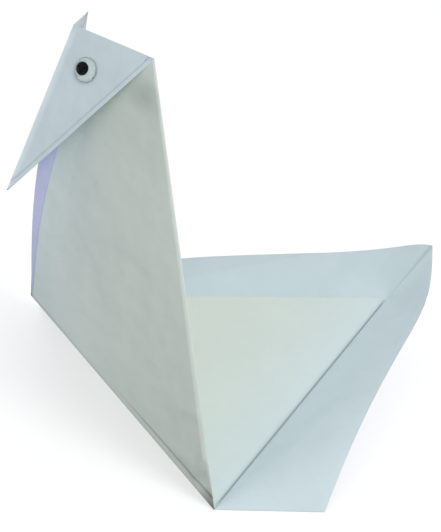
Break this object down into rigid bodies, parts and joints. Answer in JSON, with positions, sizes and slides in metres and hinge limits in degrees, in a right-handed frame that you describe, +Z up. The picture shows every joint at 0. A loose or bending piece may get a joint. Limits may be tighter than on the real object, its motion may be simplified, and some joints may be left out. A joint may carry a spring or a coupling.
{
  "type": "folded paper swan",
  "caption": "Swan folded from a single square of white paper, with an upright neck, a turned-down head, an open fan of a tail and a small stuck-on eye.",
  "frame": {"origin": "middle of the box on the floor under the swan", "axes": "+X towards the tail, +Y to the swan's far side, +Z up"},
  "size_m": [0.1504, 0.1582, 0.1214],
  "materials": {
    "paper": "matte",
    "eye_white": "matte",
    "pupil": "satin",
    "clear": "gloss"
  },
  "bodies": {
    "root": {"sheet": "paper", "eye_back": "eye_white", "eye_pupil": "pupil", "eye_dome": "clear"}
  },
  "joints": []
}
